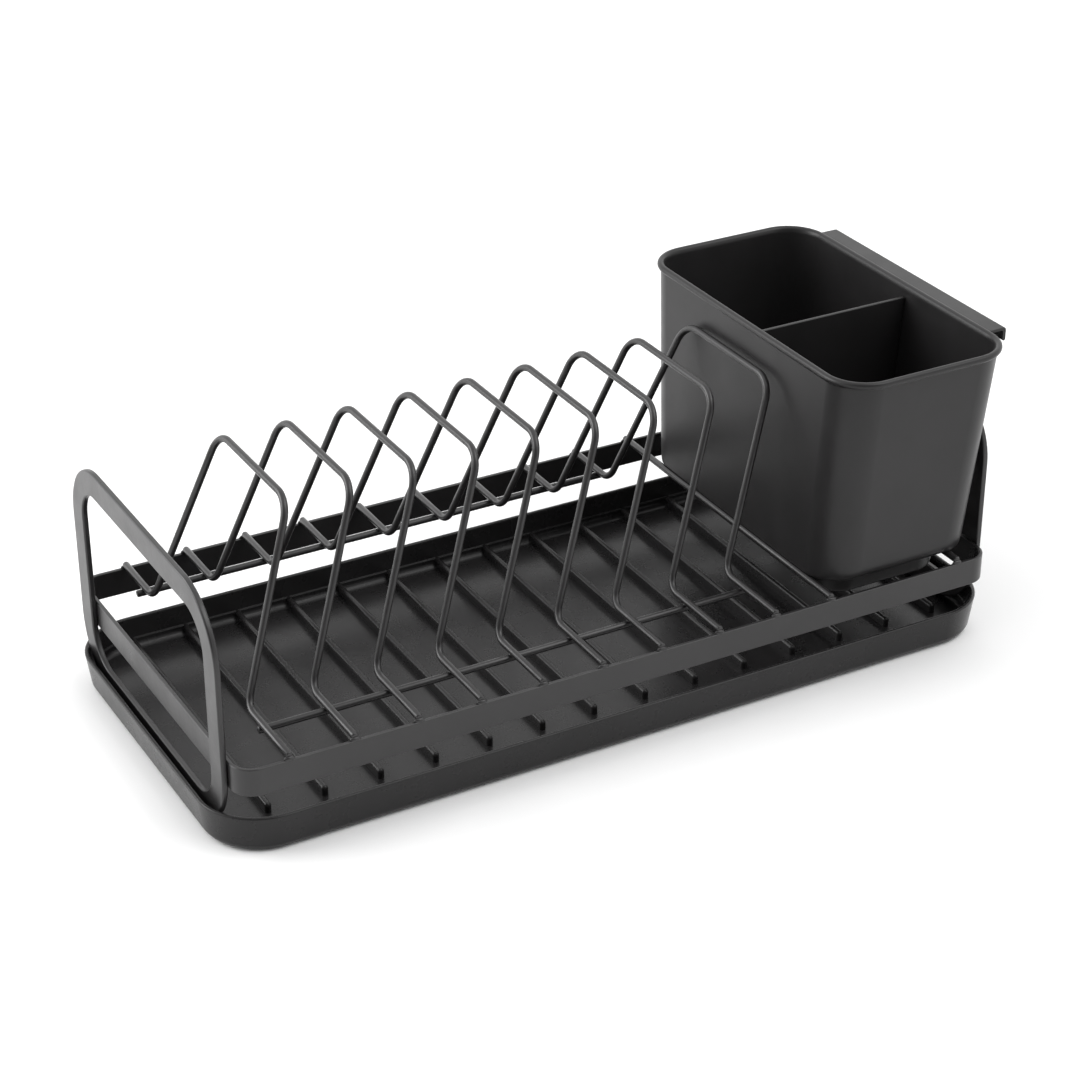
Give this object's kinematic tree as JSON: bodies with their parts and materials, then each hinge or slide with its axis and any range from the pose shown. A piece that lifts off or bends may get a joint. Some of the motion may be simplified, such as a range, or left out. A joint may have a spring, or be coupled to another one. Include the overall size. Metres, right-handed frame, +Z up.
{
  "type": "dish drying rack",
  "caption": "Slim countertop dish rack: ribbed drip tray, welded wire frame with leaning plate arches and end handles, and a lift-out cutlery caddy with a loose divider.",
  "frame": {"origin": "centre of the drip tray's underside", "axes": "+X along the length towards the caddy end, +Y from the front to the rear, +Z up"},
  "size_m": [0.431, 0.2023, 0.1622],
  "materials": {
    "tray_plastic": "fine-grained satin moulding",
    "rack_steel": "satin powder coat",
    "caddy_plastic": "satin moulding"
  },
  "bodies": {
    "tray": {"drip_tray": "tray_plastic"},
    "rack": {"frame_band": "rack_steel", "left_leg_loop": "rack_steel", "right_leg_loop": "rack_steel", "plate_wire_1": "rack_steel", "plate_wire_2": "rack_steel", "plate_wire_3": "rack_steel", "plate_wire_4": "rack_steel", "plate_wire_5": "rack_steel", "plate_wire_6": "rack_steel", "plate_wire_7": "rack_steel", "plate_wire_8": "rack_steel", "plate_wire_9": "rack_steel", "front_long_wire": "rack_steel", "rear_long_wire": "rack_steel", "caddy_wire_left": "rack_steel", "caddy_wire_right": "rack_steel"},
    "caddy": {"caddy_tub": "caddy_plastic"},
    "divider": {"caddy_divider": "caddy_plastic"}
  },
  "joints": [
    {"name": "rack_lift", "type": "slide", "parent": "tray", "child": "rack", "axis": [0, 0, 1], "range_m": [0, 0.15]},
    {"name": "caddy_lift", "type": "slide", "parent": "rack", "child": "caddy", "axis": [0, 0, 1], "range_m": [0, 0.12]},
    {"name": "divider_lift", "type": "slide", "parent": "caddy", "child": "divider", "axis": [0, 0, 1], "range_m": [0, 0.12]}
  ]
}
